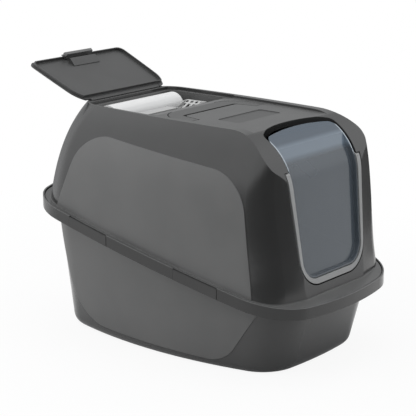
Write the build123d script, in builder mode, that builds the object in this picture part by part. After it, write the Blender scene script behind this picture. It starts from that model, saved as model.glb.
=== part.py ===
"""Covered litter box: tray, tall hood with a flip-up entrance, roof store and carry handle.

Millimetres. +X is to the right seen from the entrance, +Y points to the rear, +Z is up.
The origin is on the floor under the middle of the rim.
"""

import math
import os

from build123d import *

os.makedirs("parts", exist_ok=True)

# Rim: where tray and hood meet, seen from above
rim_length = 657.0
rim_width = 456.0
rim_widest_y = 38.0
rim_side_bow = 2342.0
rim_front_bow = 764.0
rim_rear_bow = 529.0
rim_front_corner = 109.0
rim_rear_corner = 99.0

# Rim: it slopes down towards the entrance
rim_height = 219.5
rim_slope = 0.234
skirt_height = 22.4
skirt_wall = 3.0
shelf_drop = 4.5
shelf_wall = 3.0

# Tray
tray_wall = 2.8
tray_floor = 3.0
tray_base_front = 264.0
tray_base_rear = 300.0
tray_base_width = 350.0
tray_base_widest_y = -30.0
tray_base_side_bow = 880.0
tray_base_front_bow = 900.0
tray_base_corner = 82.0
tray_bottom_round = 24.0
tray_top_inset = 25.0
panel_relief = 1.2

# Hood
hood_wall = 2.6
hood_side_inset = 13.0
hood_front_inset = 25.2
hood_rear_inset = 26.0
hood_height = 470.0
roof_slope = 0.0205
side_lean = 0.029
shoulder_depth = 64.6
shoulder_power = 5.0
rear_lean = 0.157
rear_shoulder_depth = 30.0
rear_shoulder_power = 1.5
front_lean = 0.101
hood_front_bow = 672.0
hood_front_corner = 60.0
hood_rear_corner = 68.0
hood_front_corner_loss = 29.0
hood_rear_corner_loss = 9.0
brow_radius = 120.0
flange_gap = 2.0
flange_wall = 3.0
roof_rail = 9.0
roof_sink = 5.0

# Entrance: flat leaning face, frame and swing door
face_y = -268.0
face_z = 384.0
face_lean = 0.12
entrance_rear_y = -173.0
entrance_rear_bow = 228.0
entrance_corner = 16.0
entrance_lip = 2.4
entrance_lip_depth = 15.0
entrance_lip_front_y = -240.0
entrance_rim_depth = 15.0
frame_top_half = 124.0
frame_bottom_half = 103.0
frame_bottom_z = 170.5
frame_corner = 58.0
frame_depth = 13.0
frame_wall = 2.6
frame_gap = 2.8
frame_pivot_z = 383.0
knuckle_radius = 5.0
frame_notch = 2.6
ear_wall = 2.0
ear_gap = 0.8
ear_width = 9.0
door_top_half = 111.0
door_bottom_half = 96.5
door_bottom_z = 183.0
door_corner = 42.0
door_top_corner = 19.0
door_rear_gap = 23.5
door_rear_bow = 536.0
door_gap = 1.2
door_inset = 2.0
door_depth = 11.0
door_sheet = 2.6
door_border = 3.2
door_arc_spare = 3.0
door_pane_end_angle = 34.3
door_step_end_angle = 46.0
door_pivot_y = -251.0
door_pivot_z = 392.0
pin_diameter = 4.0
pin_length = 3.5
pin_end_gap = 0.8
boss_wall = 3.0
running_gap = 0.05

# Roof store
store_front_y = 48.0
store_rear_y = 214.0
store_depth = 62.0
store_wall = 2.4
store_edge = 4.5
store_flange = 5.0
store_flange_drop = 6.5
store_front_ledge = 14.0

# Lid of the roof store; at rest it stands open
lid_hinge_y = 222.0
lid_hinge_rise = 1.5
lid_length = 154.0
lid_edge = 2.0
lid_plate = 2.6
lid_corner = 14.0
lid_lip = 5.5
lid_lip_wall = 2.2
lid_lip_inset = 3.4
lid_open_angle = 156.8
lid_barrel = 4.8
lid_barrel_half = 104.0
lid_pin = 3.0
lid_lug = 5.5
latch_half = 40.0
latch_depth = 8.0
latch_drop = 13.5
wedge_half = 39.0
wedge_start = 18.0
wedge_length = 18.0
wedge_depth = 9.0
wedge_thin = 1.0
wedge_flat = 2.0

# Carry handle lying in the roof
handle_half = 120.0
handle_pivot_y = -35.0
handle_rear_y = 46.5
handle_band = 36.0
handle_leg = 27.0
handle_thickness = 6.0
handle_corner = 60.0
handle_inner_corner = 8.0
handle_gap = 2.0
handle_slot = 7.0
handle_pin = 5.0
handle_pin_length = 8.0

# Bare badge recess in the roof
badge_length = 141.0
badge_width = 53.0
badge_y = -90.0
badge_depth = 1.4

# Filter under the roof
filter_y = -112.0
filter_length = 150.0
filter_width = 86.0
filter_height = 12.0
holder_wall = 2.0
holder_slots = 9

# Clips in the rim's skirt
clip_length = 97.0
clip_rear_y = 133.5
clip_front_y = -127.0
clip_wall = 2.5
clip_slot = 2.0
clip_end_gap = 0.5
clip_barrel = 5.4
clip_pin = 2.6
clip_pin_rise = 4.0
clip_nose = 2.0
clip_rib = 3.0
clip_rib_reach = 7.5

# Liner roll and scoop
roll_diameter = 56.0
roll_bore = 14.0
roll_length = 206.0
roll_x = -6.0
roll_y = 177.2
scoop_y = 104.0
scoop_neck_x = 1.0
scoop_neck_z = 454.5
scoop_heel_reach = 12.0
scoop_heel_drop = 29.0
scoop_length = 83.0
scoop_tip_rise = 2.5
scoop_neck_half = 17.0
scoop_tip_half = 25.0
scoop_wall = 2.0
scoop_side = 6.0
scoop_slots = 4
scoop_slot_width = 7.0
scoop_slot_pitch = 12.0
scoop_slot_start = 7.5
scoop_slot_end = 67.0
scoop_tip_slot_start = 70.0
scoop_tip_slot_end = 77.5
scoop_handle_length = 117.0
scoop_handle_width = 24.0
scoop_handle_height = 7.0
scoop_rest_reach = 74.0
scoop_rest_basket = 35.0

fit_gap = 0.3


def rim_z(y):
    """Height of the rim's top edge at a place along the box."""
    return rim_height + rim_slope * y


def roof_z(y):
    """Height of the roof's edge at a place along the box."""
    return hood_height + roof_slope * (y - lid_hinge_y)


def circle_crossing(centre_a, radius_a, centre_b, radius_b):
    """The crossing of two circles that lies furthest to +X."""
    dx = centre_b[0] - centre_a[0]
    dy = centre_b[1] - centre_a[1]
    apart = math.hypot(dx, dy)
    along = (radius_a**2 - radius_b**2 + apart**2) / (2 * apart)
    across = math.sqrt(radius_a**2 - along**2)
    foot = (centre_a[0] + along * dx / apart, centre_a[1] + along * dy / apart)
    first = (foot[0] - across * dy / apart, foot[1] + across * dx / apart)
    second = (foot[0] + across * dy / apart, foot[1] - across * dx / apart)
    return max(first, second)


def bowed_outline(section, front, rear, half, widest, bows, corners):
    """Closed plan outline with four bowed sides and rounded corners.

    bows holds the side, front and rear radii; corners the front and rear ones.
    """
    side_bow, front_bow, rear_bow = bows
    side_centre = (half - side_bow, widest)
    front_x, front_y = circle_crossing(side_centre, side_bow, (0, front + front_bow), front_bow)
    rear_x, rear_y = circle_crossing(side_centre, side_bow, (0, rear - rear_bow), rear_bow)
    with BuildLine() as outline:
        ThreePointArc((front_x, front_y), (half, widest), (rear_x, rear_y))
        ThreePointArc((rear_x, rear_y), (0, rear), (-rear_x, rear_y))
        ThreePointArc((-rear_x, rear_y), (-half, widest), (-front_x, front_y))
        ThreePointArc((-front_x, front_y), (0, front), (front_x, front_y))
    make_face(outline.edges())
    fillet(section.vertices().group_by(Axis.Y)[0], corners[0])
    fillet(section.vertices().group_by(Axis.Y)[-1], corners[1])


def rim_outline(section, inset):
    """The rim's outer outline, moved inwards."""
    bowed_outline(
        section,
        -rim_length / 2 + inset,
        rim_length / 2 - inset,
        rim_width / 2 - inset,
        rim_widest_y,
        (rim_side_bow - inset, rim_front_bow - inset, rim_rear_bow - inset),
        (rim_front_corner - inset, rim_rear_corner - inset),
    )


def tray_outline(section, height, inset):
    """The tray wall's outline at a height; the wall is straight from base to rim."""
    front_top = -rim_length / 2 + tray_top_inset
    rear_top = rim_length / 2 - tray_top_inset
    half_base = tray_base_width / 2
    half_top = rim_width / 2 - tray_top_inset
    front = -tray_base_front + (front_top + tray_base_front) * height / rim_z(front_top)
    rear = tray_base_rear + (rear_top - tray_base_rear) * height / rim_z(rear_top)
    share = height / rim_height
    half = half_base + (half_top - half_base) * share
    widest = tray_base_widest_y + (rim_widest_y - tray_base_widest_y) * share
    side_bow = tray_base_side_bow + (rim_side_bow - tray_base_side_bow) * share
    corner_growth = (rim_front_corner - tray_base_corner) * share
    bowed_outline(
        section,
        front + inset,
        rear - inset,
        half - inset,
        widest,
        (side_bow - inset, tray_base_front_bow - inset, rim_rear_bow - inset),
        (tray_base_corner + corner_growth - inset, tray_base_corner - inset),
    )


def hood_outline(section, height, inset):
    """The hood's outline at a height, rounding in towards the roof."""
    front_rim = -rim_length / 2
    rear_rim = rim_length / 2
    rise = max(0.0, (height - rim_height) / (hood_height - rim_height))
    rear_rise = max(0.0, (height - rim_z(rear_rim)) / (hood_height - rim_z(rear_rim)))
    side_loss = side_lean * (height - rim_height) + shoulder_depth * rise**shoulder_power
    rear_loss = rear_lean * (height - rim_z(rear_rim)) + rear_shoulder_depth * rear_rise**rear_shoulder_power
    front_loss = front_lean * (height - rim_z(front_rim))
    bowed_outline(
        section,
        front_rim + hood_front_inset + front_loss + inset,
        rear_rim - hood_rear_inset - rear_loss - inset,
        rim_width / 2 - hood_side_inset - side_loss - inset,
        rim_widest_y,
        (rim_side_bow - inset, hood_front_bow - inset, rim_rear_bow - inset),
        (
            hood_front_corner - hood_front_corner_loss * rise - inset,
            hood_rear_corner - hood_rear_corner_loss * rise - inset,
        ),
    )


def brow_centre():
    """Centre of the brow's arc on the side profile."""
    level = hood_height - roof_slope * lid_hinge_y - brow_radius * math.hypot(1, roof_slope)
    line_y = face_y + brow_radius * math.hypot(1, face_lean) + face_lean * (level - face_z)
    y = line_y / (1 - face_lean * roof_slope)
    return y, level + roof_slope * y


def side_profile(inset):
    """Everything behind the leaning face, under the brow and under the roof."""
    with BuildPart() as profile:
        with BuildSketch(Plane.YZ) as side:
            with BuildLine():
                back_y = rim_length
                face_foot_y = face_y - face_lean * face_z + inset
                roof_level = hood_height - roof_slope * lid_hinge_y - inset
                brow_y = (face_foot_y + face_lean * roof_level) / (1 - face_lean * roof_slope)
                brow_z = roof_level + roof_slope * brow_y
                Polyline(
                    (face_foot_y, 0),
                    (brow_y, brow_z),
                    (back_y, roof_level + roof_slope * back_y),
                    (back_y, 0),
                    close=True,
                )
            make_face()
            fillet(side.vertices().sort_by_distance((brow_y, brow_z))[0], brow_radius - inset)
        extrude(amount=rim_width, both=True)
    return profile.part


def hood_form(inset):
    """The hood's closed outer form, moved inwards."""
    low = rim_z(-rim_length / 2) - skirt_height
    high = hood_height + brow_radius / 10
    shares = [0, 0.3, 0.5, 0.65, 0.76, 0.85, 0.92, 0.97, 1.0]
    with BuildPart() as form:
        for share in shares:
            height = low + (high - low) * share
            with BuildSketch(Plane.XY.offset(height)) as section:
                hood_outline(section, height, inset)
        loft()
        add(side_profile(inset), mode=Mode.INTERSECT)
    return form.part


def rim_plane(drop):
    """The rim's sloping plane, moved down."""
    return Plane((0, 0, rim_height - drop), x_dir=(1, 0, 0), z_dir=(0, -rim_slope, 1))


def roof_plane(drop):
    """The roof edge's plane, moved down."""
    return Plane((0, 0, roof_z(0) - drop), x_dir=(1, 0, 0), z_dir=(0, -roof_slope, 1))


def face_plane(depth):
    """The entrance's leaning plane, moved inwards; its local Y runs up the face."""
    return Plane((0, face_y + depth, face_z), x_dir=(1, 0, 0), z_dir=(0, -1, face_lean))


def up_face(z):
    """Local Y on the leaning plane for a height."""
    return (z - face_z) * math.hypot(1, face_lean)


def rim_plate(inset, top_drop, bottom_drop):
    """A plate with the rim's outline between two planes below the rim's edge."""
    with BuildPart() as plate:
        with BuildSketch() as section:
            rim_outline(section, inset)
        extrude(amount=hood_height)
        split(bisect_by=rim_plane(top_drop), keep=Keep.BOTTOM)
        split(bisect_by=rim_plane(bottom_drop), keep=Keep.TOP)
    return plate.part


def roof_block(inset, front, rear, top_drop, bottom_drop):
    """A block that follows the roof's outline between two places and two depths."""
    with BuildPart() as block:
        with BuildSketch(roof_plane(bottom_drop)) as section:
            hood_outline(section, hood_height, inset)
            with Locations((0, (front + rear) / 2)):
                Rectangle(rim_width, rear - front, mode=Mode.INTERSECT)
        extrude(amount=bottom_drop - top_drop)
    return block.part


def side_panel(form_inset, corners, form):
    """A thin raised panel on both sides: the form grown by its relief within an outline."""
    with BuildPart() as panel:
        with BuildSketch(Plane.YZ) as side:
            with BuildLine() as edge:
                Polyline(*[point for point, radius in corners], close=True)
            make_face(edge.edges())
            for point, radius in corners:
                if radius:
                    fillet(side.vertices().sort_by_distance(point)[0], radius)
        extrude(amount=rim_width, both=True)
        add(form(form_inset), mode=Mode.INTERSECT)
    return panel.part


def u_outline(top, pivot_half, bottom, bottom_half, corner, grow=0.0):
    """A face on the entrance plane: straight sides, rounded lower corners.

    pivot_half is its half width at the height of the frame's hinge line.
    """
    top_v = up_face(top)
    bottom_v = up_face(bottom) - grow
    spread = (pivot_half - bottom_half) / (frame_pivot_z - bottom)
    top_half = bottom_half + spread * (top - bottom)
    with BuildSketch() as shape:
        with BuildLine() as edge:
            Polyline(
                (-top_half - grow, top_v),
                (-bottom_half - grow, bottom_v),
                (bottom_half + grow, bottom_v),
                (top_half + grow, top_v),
                close=True,
            )
        make_face(edge.edges())
        fillet(shape.vertices().group_by(Axis.Y)[0], corner + grow)
    return shape.sketch


def brow_outline(half, front, rear, bow, corner):
    """A plan outline with straight sides and front, and a bowed rear edge with rounded corners."""
    corner_y = rear - bow + math.sqrt(bow**2 - half**2)
    with BuildSketch() as shape:
        with BuildLine() as edge:
            ThreePointArc((half, corner_y), (0, rear), (-half, corner_y))
            Polyline((-half, corner_y), (-half, front), (half, front), (half, corner_y))
        make_face(edge.edges())
        fillet(shape.vertices().group_by(Axis.Y)[-1], corner)
    return shape.sketch


def tray_form(inset):
    """The tray's closed outer form, moved inwards."""
    with BuildPart() as form:
        for height in (0, hood_height):
            with BuildSketch(Plane.XY.offset(height)) as section:
                tray_outline(section, height, inset)
        loft()
    return form.part


def x_rod(y, z, diameter, start, end):
    """Two round rods along X, one on each side of the middle."""
    with BuildPart() as rods:
        with BuildSketch(Plane.YZ.offset(start)):
            with Locations((y, z)):
                Circle(diameter / 2)
        extrude(amount=end - start)
        mirror(about=Plane.YZ)
    return rods.part


def x_blocks(corners, start, end):
    """Two flat blocks with one side outline, one on each side of the middle."""
    with BuildPart() as blocks:
        with BuildSketch(Plane.YZ.offset(start)):
            with BuildLine() as edge:
                Polyline(*corners, close=True)
            make_face(edge.edges())
        extrude(amount=end - start)
        mirror(about=Plane.YZ)
    return blocks.part


# Side panels: a satin field that runs on from the hood's side into the tray's side
hood_panel_corners = [
    ((-246.0, 135.0), 0),
    ((-215.6, 388.7), 87.0),
    ((166.0, 428.6), 87.0),
    ((243.0, 245.0), 0),
]
tray_panel_corners = [
    ((-286.0, 200.0), 0),
    ((-158.0, 17.0), 72.0),
    ((232.0, 26.0), 100.0),
    ((285.0, 300.0), 0),
]

# Clips: where each one sits in the skirt, seen from its own side
clip_places = {
    "clip_left_rear": (clip_rear_y, -1),
    "clip_left_front": (clip_front_y, -1),
    "clip_right_rear": (clip_rear_y, 1),
    "clip_right_front": (clip_front_y, 1),
}
clip_axis_depth = clip_wall + clip_barrel / 2 - 0.2
clip_axis_drop = skirt_height - clip_pin_rise
clip_bow = clip_length**2 / (8 * rim_side_bow)


def clip_plane(y, side, depth=0.0):
    """An upright plane on the skirt's outer face at a clip's middle, facing outwards."""
    yaw = (y - rim_widest_y) / rim_side_bow
    x = rim_width / 2 - (y - rim_widest_y) ** 2 / (2 * rim_side_bow) - depth
    return Plane((side * x, y, rim_z(y)), x_dir=(-yaw, side, 0), z_dir=(side, yaw, 0))


def clip_outline(side, start, end, top_drop, bottom_drop):
    """A face on a clip's plane: upright ends, with top and bottom along the rim."""
    slope = side * rim_slope
    with BuildSketch() as shape:
        with BuildLine() as edge:
            Polyline(
                (start, slope * start - bottom_drop),
                (end, slope * end - bottom_drop),
                (end, slope * end - top_drop),
                (start, slope * start - top_drop),
                close=True,
            )
        make_face(edge.edges())
    return shape.sketch


def clip_rod(y, side, diameter, half):
    """A round rod on a clip's hinge line, as long on either side of the clip's middle."""
    middle = clip_plane(y, side, clip_axis_depth).origin - Vector(0, 0, clip_axis_drop)
    along = Vector(-side * (y - rim_widest_y) / rim_side_bow, 1, rim_slope)
    with BuildPart() as rod:
        with BuildSketch(Plane(middle, z_dir=along)):
            Circle(diameter / 2)
        extrude(amount=half, both=True)
    return rod.part


# Tray: walls, floor, sloping shelf and hanging skirt
with BuildPart() as tray_cavity:
    add(tray_form(tray_wall))
    split(bisect_by=Plane.XY.offset(tray_floor), keep=Keep.TOP)
    fillet(tray_cavity.edges().group_by(Axis.Z)[0], tray_bottom_round - tray_wall)

with BuildPart() as litter_tray:
    add(tray_form(0))
    fillet(litter_tray.edges().group_by(Axis.Z)[0], tray_bottom_round)
    add(side_panel(-panel_relief, tray_panel_corners, tray_form))
    split(bisect_by=rim_plane(shelf_drop), keep=Keep.BOTTOM)
    add(rim_plate(0, 0, skirt_height))
    add(rim_plate(skirt_wall, -fit_gap, shelf_drop), mode=Mode.SUBTRACT)
    under_shelf = rim_plate(skirt_wall, shelf_drop + shelf_wall, skirt_height + fit_gap)
    add(under_shelf - tray_form(0), mode=Mode.SUBTRACT)
    add(tray_cavity.part, mode=Mode.SUBTRACT)
    clip_half = clip_length / 2
    for clip_y, side in clip_places.values():
        # The skirt is open where a clip hangs, with a rib at each end for its pins
        with BuildSketch(clip_plane(clip_y, side)):
            add(clip_outline(side, -clip_half - clip_end_gap, clip_half + clip_end_gap, -1, skirt_height + 1))
        extrude(amount=-skirt_wall - clip_bow - fit_gap, mode=Mode.SUBTRACT)
        rib_start = clip_half + clip_end_gap
        with BuildSketch(clip_plane(clip_y, side, skirt_wall - fit_gap)):
            for start in (rib_start, -rib_start - clip_rib):
                add(clip_outline(side, start, start + clip_rib, shelf_drop + 1, skirt_height))
        extrude(amount=-clip_rib_reach)
        add(clip_rod(clip_y, side, clip_pin + 2 * running_gap, clip_half + 2 * clip_rib), mode=Mode.SUBTRACT)

for clip_name, (clip_y, side) in clip_places.items():
    with BuildPart() as clip:
        with BuildSketch(clip_plane(clip_y, side)):
            add(clip_outline(side, -clip_half, clip_half, clip_slot, skirt_height))
        extrude(amount=-clip_wall)
        with BuildSketch(clip_plane(clip_y, side)):
            add(clip_outline(side, -clip_half, clip_half, clip_slot, shelf_drop - fit_gap))
        extrude(amount=-clip_wall - clip_nose)
        add(clip_rod(clip_y, side, clip_barrel, clip_half))
        add(clip_rod(clip_y, side, clip_pin, clip_half + clip_end_gap + clip_rib))
    clip.part.label = clip_name
    export_step(clip.part, f"parts/{clip_name}.step")

litter_tray.part.label = "litter_tray"
export_step(litter_tray.part, "parts/litter_tray.step")


# Carry handle and its bed in the roof, seen from above
def bail_outline(grow, slot):
    """The handle's U seen from above, grown outwards, with the inner side moved in by slot."""
    inner_rear = handle_rear_y - handle_band - slot
    inner_half = handle_half - handle_band
    leg_half = handle_half - handle_leg
    with BuildSketch() as shape:
        with BuildLine() as outer:
            Polyline(
                (-handle_half - grow, handle_pivot_y),
                (handle_half + grow, handle_pivot_y),
                (handle_half + grow, handle_rear_y + grow),
                (-handle_half - grow, handle_rear_y + grow),
                close=True,
            )
        make_face(outer.edges())
        fillet(shape.vertices().group_by(Axis.Y)[-1], handle_corner + grow)
        with BuildLine() as inner:
            Polyline(
                (-leg_half + grow, handle_pivot_y - 1),
                (leg_half - grow, handle_pivot_y - 1),
                (inner_half - grow, inner_rear),
                (-inner_half + grow, inner_rear),
                close=True,
            )
        make_face(inner.edges(), mode=Mode.SUBTRACT)
        for x in (-inner_half + grow, inner_half - grow):
            fillet(shape.vertices().sort_by_distance((x, inner_rear))[0], handle_inner_corner)
    return shape.sketch


handle_axis_drop = roof_sink + handle_thickness / 2
handle_axis_z = roof_z(handle_pivot_y) - handle_axis_drop
bed_drop = roof_sink + handle_thickness + fit_gap


def handle_bed(grow, slot, drop):
    """The hollow that the handle lies in, open to the roof store behind it."""
    leg_half = handle_half - handle_leg
    with BuildPart() as bed:
        with BuildSketch(roof_plane(drop)):
            add(bail_outline(grow, slot))
            with Locations((0, handle_rear_y)):
                Rectangle(2 * (handle_half - handle_corner), 2 * handle_gap + 3)
            for x in (-1, 1):
                with Locations((x * (handle_half + leg_half) / 2, handle_pivot_y)):
                    Rectangle(handle_leg + 2 * grow, handle_thickness + 2 * grow)
        extrude(amount=drop + roof_sink)
    return bed.part


# Hinge lines and pins
brow_centre_y, brow_centre_z = brow_centre()
knuckle_reach = brow_radius - knuckle_radius
frame_pivot_y = brow_centre_y - math.sqrt(knuckle_reach**2 - (frame_pivot_z - brow_centre_z) ** 2)
lid_hinge_z = roof_z(lid_hinge_y) + lid_hinge_rise
frame_inner_half = door_top_half + door_gap
boss_start = frame_top_half + frame_gap
boss_end = boss_start + hood_wall + boss_wall
brow_half = frame_inner_half + ear_wall + ear_gap
store_seat_drop = store_flange_drop + store_wall
seat_bottom_drop = bed_drop + hood_wall
hole_play = 2 * running_gap

# Hood: shell, flange, roof with its hollows, entrance with its inner rim
with BuildPart() as hood_cavity:
    add(hood_form(hood_wall))
    add(roof_block(roof_rail - hood_wall, -rim_length / 2, store_front_y, -hood_wall, roof_sink + hood_wall),
        mode=Mode.SUBTRACT)
    add(handle_bed(handle_gap + hood_wall, handle_slot + hood_wall, seat_bottom_drop), mode=Mode.SUBTRACT)
    add(roof_block(-rim_rear_corner / 3, store_front_y - hood_wall, lid_hinge_y + boss_wall, -hood_wall,
        seat_bottom_drop), mode=Mode.SUBTRACT)

with BuildPart() as entrance_rim:
    with BuildSketch(face_plane(0)):
        add(u_outline(frame_pivot_z, frame_top_half, frame_bottom_z, frame_bottom_half, frame_corner,
            frame_gap + hood_wall))
    extrude(amount=-entrance_rim_depth)
    add(x_rod(frame_pivot_y, frame_pivot_z, 2 * (knuckle_radius + 1), boss_start, boss_end))
    add(hood_form(0), mode=Mode.INTERSECT)

# A lip hangs from the brow's edge round the rear of the opening
with BuildPart() as brow_lip:
    with BuildSketch(Plane.XY.offset(frame_pivot_z)):
        add(brow_outline(brow_half + entrance_lip, entrance_lip_front_y, entrance_rear_y + entrance_lip,
            entrance_rear_bow + entrance_lip, entrance_corner + entrance_lip))
        add(brow_outline(brow_half, entrance_lip_front_y - 1, entrance_rear_y, entrance_rear_bow,
            entrance_corner), mode=Mode.SUBTRACT)
    extrude(amount=hood_height - frame_pivot_z)
    add(hood_form(0), mode=Mode.INTERSECT)
    add(hood_form(entrance_lip_depth), mode=Mode.SUBTRACT)

with BuildPart() as hood_shell:
    add(hood_form(0))
    add(side_panel(-panel_relief, hood_panel_corners, hood_form))
    split(bisect_by=rim_plane(shelf_drop), keep=Keep.TOP)
    add(rim_plate(skirt_wall + flange_gap, shelf_drop - flange_wall, shelf_drop))
    add(hood_cavity.part, mode=Mode.SUBTRACT)
    add(entrance_rim.part)
    add(brow_lip.part)
    # Sunk roof, handle bed, badge field
    add(roof_block(roof_rail, -rim_length / 2, store_front_y, -hood_wall, roof_sink), mode=Mode.SUBTRACT)
    handle_boss = [
        (handle_pivot_y - handle_pin, handle_axis_z - handle_pin),
        (handle_pivot_y + handle_pin, handle_axis_z - handle_pin),
        (handle_pivot_y + handle_pin, roof_z(handle_pivot_y) - roof_sink),
        (handle_pivot_y - handle_pin, roof_z(handle_pivot_y) - roof_sink),
    ]
    add(x_blocks(handle_boss, handle_half + handle_gap, handle_half + handle_pin_length + boss_wall / 2))
    add(handle_bed(handle_gap, handle_slot, bed_drop), mode=Mode.SUBTRACT)
    add(x_rod(handle_pivot_y, handle_axis_z, handle_pin + hole_play, handle_half,
        handle_half + handle_pin_length + running_gap), mode=Mode.SUBTRACT)
    with BuildSketch(roof_plane(roof_sink)):
        with Locations((0, badge_y)):
            RectangleRounded(badge_length, badge_width, badge_width / 6)
    extrude(amount=-badge_depth, mode=Mode.SUBTRACT)
    # Seat of the roof store and the lid's hinge
    add(roof_block(store_edge, store_front_y, store_rear_y, -hood_wall, store_seat_drop), mode=Mode.SUBTRACT)
    add(roof_block(store_edge + store_flange, store_front_y + store_front_ledge,
        store_rear_y - store_flange, -hood_wall, store_depth), mode=Mode.SUBTRACT)
    add(x_rod(lid_hinge_y, lid_hinge_z, lid_barrel + 2, 0, lid_barrel_half + lid_lug + 1), mode=Mode.SUBTRACT)
    lug_half = lid_barrel / 2 + 1
    lug = [
        (lid_hinge_y - lug_half, lid_hinge_z - 2 * lid_barrel),
        (lid_hinge_y + lug_half, lid_hinge_z - 2 * lid_barrel),
        (lid_hinge_y + lug_half, lid_hinge_z),
        (lid_hinge_y - lug_half, lid_hinge_z),
    ]
    lug_start = lid_barrel_half + fit_gap
    add(x_blocks(lug, lug_start, lug_start + lid_lug))
    add(x_rod(lid_hinge_y, lid_hinge_z, 2 * lug_half, lug_start, lug_start + lid_lug))
    add(x_rod(lid_hinge_y, lid_hinge_z, lid_pin + hole_play, lug_start, lug_start + lid_lug + 1),
        mode=Mode.SUBTRACT)
    # Entrance opening: over the brow for the door, inside the rim for the frame
    with BuildSketch(Plane.XY.offset(frame_pivot_z)):
        add(brow_outline(brow_half, -rim_length / 2, entrance_rear_y, entrance_rear_bow, entrance_corner))
    extrude(amount=hood_height - frame_pivot_z + 1, mode=Mode.SUBTRACT)
    with BuildSketch(face_plane(0)):
        add(u_outline(frame_pivot_z + knuckle_radius + frame_notch, frame_top_half, frame_bottom_z,
            frame_bottom_half, frame_corner, frame_gap))
    extrude(amount=2 * entrance_rim_depth, both=True, mode=Mode.SUBTRACT)
    add(x_rod(frame_pivot_y, frame_pivot_z, pin_diameter + hole_play, 0, frame_top_half + frame_gap + pin_length),
        mode=Mode.SUBTRACT)

hood_shell.part.label = "hood_shell"
export_step(hood_shell.part, "parts/hood_shell.step")


def scoop_floor_z(x):
    """Height of the underside of the scoop's basket, from its heel to its tip."""
    rise = (scoop_heel_drop + scoop_tip_rise) / (scoop_length - scoop_heel_reach)
    return scoop_neck_z - scoop_heel_drop + rise * (x - scoop_neck_x - scoop_heel_reach)


# Roof store: a drop-in tub hung by its flange
with BuildPart() as storage_tub:
    flange_inset = store_edge + fit_gap
    tub_inset = store_edge + store_flange + fit_gap
    tub_front = store_front_y + store_front_ledge + fit_gap
    tub_rear = store_rear_y - store_flange - fit_gap
    add(roof_block(flange_inset, store_front_y + fit_gap, store_rear_y - fit_gap, store_flange_drop,
        store_seat_drop))
    add(roof_block(tub_inset, tub_front, tub_rear, store_flange_drop, store_depth))
    add(roof_block(tub_inset + store_wall, tub_front + store_wall, tub_rear - store_wall, 0,
        store_depth - store_wall), mode=Mode.SUBTRACT)
    # Two ribs on its floor carry the scoop, one under its handle and one under its basket
    rest_start = tub_front + store_wall / 2
    rest_end = scoop_y + scoop_handle_width / 2
    floor_z = roof_z(rest_start) - store_depth + store_wall / 2
    basket_rest_z = scoop_floor_z(scoop_neck_x + scoop_rest_basket) - fit_gap / 2
    handle_rest_z = scoop_neck_z - scoop_handle_height - fit_gap / 2
    rest_x = scoop_neck_x - scoop_rest_reach
    for start, top_z in ((rest_x, handle_rest_z), (scoop_neck_x + scoop_rest_basket, basket_rest_z)):
        with Locations((start, rest_start, floor_z)):
            Box(store_wall, rest_end - rest_start, top_z - floor_z, align=Align.MIN)

storage_tub.part.label = "storage_tub"
export_step(storage_tub.part, "parts/storage_tub.step")

# Lid of the roof store: drawn closed on the roof, then swung open about its hinge
lid_front = lid_hinge_y - lid_length
lid_rear = lid_hinge_y - lug_half - fit_gap
lid_under_drop = lid_plate / 2 - lid_hinge_rise
lid_hinge = Axis((0, lid_hinge_y, lid_hinge_z), (1, 0, 0))
latch_axis_y = lid_front + latch_depth / 2 + 1
latch_axis_drop = lid_under_drop + latch_drop / 3
latch_gap = 1.2


def lid_block(inset, front, rear, top_drop, bottom_drop):
    """A roof block with its front corners rounded, as the lid's are."""
    with BuildPart() as block:
        add(roof_block(inset, front, rear, top_drop, bottom_drop))
        upright = block.edges().filter_by(Axis.Z, tolerance=2).group_by(Axis.Y)[0]
        fillet(upright, lid_corner)
    return block.part


with BuildPart() as closed_lid:
    add(lid_block(lid_edge, lid_front, lid_rear, lid_under_drop - lid_plate, lid_under_drop))
    add(lid_block(lid_edge + lid_lip_inset, lid_front + lid_lip_inset, lid_rear - 2 * lid_lip_inset,
        lid_under_drop, lid_under_drop + lid_lip))
    wall = lid_lip_inset + lid_lip_wall
    add(lid_block(lid_edge + wall, lid_front + wall, lid_rear - lid_lip_inset - wall, lid_under_drop,
        lid_under_drop + lid_lip), mode=Mode.SUBTRACT)
    # Hinge barrel with its pins
    with BuildSketch(roof_plane(lid_under_drop)):
        with Locations((0, (lid_rear + lid_hinge_y) / 2)):
            Rectangle(2 * lid_barrel_half, lid_hinge_y - lid_rear + 1)
    extrude(amount=lid_plate)
    add(x_rod(lid_hinge_y, lid_hinge_z, lid_barrel, 0, lid_barrel_half))
    add(x_rod(lid_hinge_y, lid_hinge_z, lid_pin, 0, lid_barrel_half + lid_lug))
    # Room for the latch in the lip, its two ears and the wedge behind it
    room = latch_half + lid_lip_wall + 2 * fit_gap
    with BuildSketch(roof_plane(lid_under_drop)):
        with Locations((0, lid_front + latch_depth / 2)):
            Rectangle(2 * room, latch_depth + 4)
    extrude(amount=-lid_lip - 1, mode=Mode.SUBTRACT)
    ear_z = roof_z(latch_axis_y) - latch_axis_drop
    ear = [
        (latch_axis_y - 3, roof_z(latch_axis_y) - lid_under_drop + 1),
        (latch_axis_y - 3, ear_z - 3),
        (latch_axis_y + 3, ear_z - 3),
        (latch_axis_y + 3, roof_z(latch_axis_y) - lid_under_drop + 1),
    ]
    add(x_blocks(ear, latch_half + fit_gap, room - fit_gap))
    add(x_rod(latch_axis_y, ear_z, clip_pin + hole_play, latch_half, room), mode=Mode.SUBTRACT)
    wedge_front = lid_front + wedge_start
    under_z = roof_z(wedge_front) - lid_under_drop
    wedge = [
        (wedge_front, under_z + 1),
        (wedge_front, under_z - wedge_depth),
        (wedge_front + wedge_flat, under_z - wedge_depth),
        (wedge_front + wedge_length, under_z - wedge_thin),
        (wedge_front + wedge_length, under_z + 1),
    ]
    add(x_blocks(wedge, 0, wedge_half))

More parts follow.
